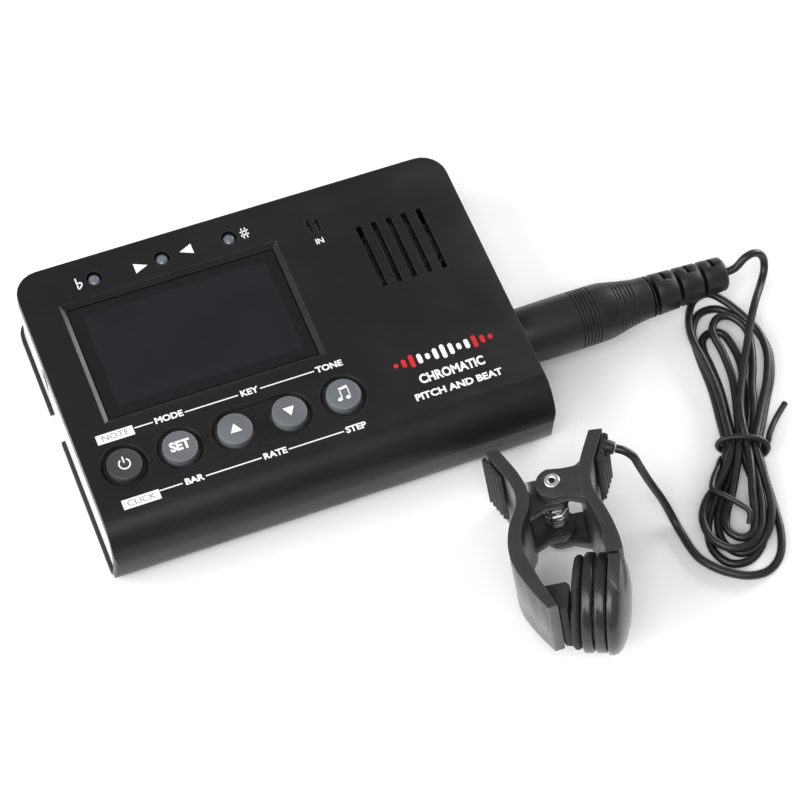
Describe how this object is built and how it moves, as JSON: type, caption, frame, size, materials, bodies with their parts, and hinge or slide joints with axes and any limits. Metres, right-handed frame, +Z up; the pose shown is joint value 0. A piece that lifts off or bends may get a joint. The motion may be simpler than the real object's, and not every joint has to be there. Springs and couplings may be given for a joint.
{
  "type": "chromatic tuner with clip-on pickup",
  "caption": "Flat desktop tuner and metronome with a sprung clip-on contact pickup on a hanked lead, plugged into the case by a quarter-inch plug.",
  "frame": {"origin": "centre of the tuner case's underside, the surface it rests on", "axes": "+X to the right along the case, towards the plug; +Y towards the back edge, away from the pickup clip; +Z up through the face"},
  "size_m": [0.1701, 0.1326, 0.0303],
  "materials": {
    "black_shell": "satin",
    "silver_band": "satin silver paint on moulded plastic",
    "dark_plastic": "fine moulded texture",
    "button_grey": "satin",
    "power_grey": "satin",
    "led_lens": "frosted lens",
    "window": "polished, smoke tinted",
    "lcd_glass": "satin",
    "board_green": "satin solder mask",
    "nickel": "polished nickel plate",
    "spring_steel": "bright",
    "brass": "bright",
    "rubber": "matte",
    "speaker_paper": "matte",
    "battery_sleeve": "printed sleeve",
    "clip_plastic": "satin",
    "cord_jacket": "satin"
  },
  "bodies": {
    "case": {"top_cover": "black_shell", "side_band": "silver_band", "rear_cover": "dark_plastic", "tact_switch_1": "dark_plastic", "tact_switch_2": "dark_plastic", "tact_switch_3": "dark_plastic", "tact_switch_4": "dark_plastic", "tact_switch_5": "dark_plastic", "input_jack": "dark_plastic", "earphone_socket": "dark_plastic", "case_screw_1": "spring_steel", "case_screw_2": "spring_steel", "case_screw_3": "spring_steel", "case_screw_4": "spring_steel", "speaker_frame": "spring_steel", "speaker_magnet": "spring_steel", "mic_capsule": "spring_steel", "battery_spring_a": "spring_steel", "battery_spring_b": "spring_steel", "contact_plate_left": "spring_steel", "contact_plate_right": "spring_steel", "display_window": "window", "lcd_panel": "lcd_glass", "led_flat": "led_lens", "led_in_tune": "led_lens", "led_sharp": "led_lens", "main_board": "board_green", "speaker_cone": "speaker_paper", "battery_a": "battery_sleeve", "battery_b": "battery_sleeve", "jack_contact": "brass"},
    "power_button": {"power_button": "power_grey"},
    "mode_button": {"mode_button": "button_grey"},
    "up_button": {"up_button": "button_grey"},
    "down_button": {"down_button": "button_grey"},
    "sound_button": {"sound_button": "button_grey"},
    "battery_door": {"battery_door": "dark_plastic"},
    "desk_stand": {"desk_stand": "dark_plastic"},
    "pickup": {"plug_tip": "nickel", "plug_insulator": "dark_plastic", "plug_sleeve": "nickel", "plug_housing": "rubber", "strain_relief": "rubber", "cord_plug_run": "cord_jacket", "cord_clip_run": "cord_jacket", "cord_hank": "cord_jacket", "cord_tie": "cord_jacket", "cord_grommet": "rubber", "sensor_arm": "clip_plastic", "sensor_grip": "rubber", "sensor_pad": "rubber", "sensor_face": "clip_plastic", "sensor_base": "clip_plastic", "piezo_disc": "brass", "pivot_rivet": "nickel", "torsion_spring": "spring_steel"},
    "clamp": {"clamp_arm": "clip_plastic", "clamp_pad": "rubber", "clamp_grip": "rubber"}
  },
  "joints": [
    {"name": "power_press", "type": "slide", "parent": "case", "child": "power_button", "axis": [0, 0, -1], "range_m": [0, 0.0005], "stiffness_N_per_m": 1500},
    {"name": "mode_press", "type": "slide", "parent": "case", "child": "mode_button", "axis": [0, 0, -1], "range_m": [0, 0.0005], "stiffness_N_per_m": 1500},
    {"name": "up_press", "type": "slide", "parent": "case", "child": "up_button", "axis": [0, 0, -1], "range_m": [0, 0.0005], "stiffness_N_per_m": 1500},
    {"name": "down_press", "type": "slide", "parent": "case", "child": "down_button", "axis": [0, 0, -1], "range_m": [0, 0.0005], "stiffness_N_per_m": 1500},
    {"name": "sound_press", "type": "slide", "parent": "case", "child": "sound_button", "axis": [0, 0, -1], "range_m": [0, 0.0005], "stiffness_N_per_m": 1500},
    {"name": "battery_door_slide", "type": "slide", "parent": "case", "child": "battery_door", "axis": [0, 1, 0], "range_m": [0, 0.028]},
    {"name": "desk_stand_hinge", "type": "hinge", "parent": "case", "child": "desk_stand", "pos_m": [0, -0.0036, 0.0011], "axis": [1, 0, 0], "range_deg": [0, 65]},
    {"name": "plug_slide", "type": "slide", "parent": "case", "child": "pickup", "axis": [1, 0, 0], "range_m": [0, 0.034]},
    {"name": "clip_hinge", "type": "hinge", "parent": "pickup", "child": "clamp", "pos_m": [0.0422, -0.05892, 0.01515], "axis": [0.1578, -0.089, -0.9835], "range_deg": [0, 40], "stiffness_Nm_per_rad": 0.05, "springref_deg": -20.05, "deforming": ["torsion_spring"]}
  ]
}
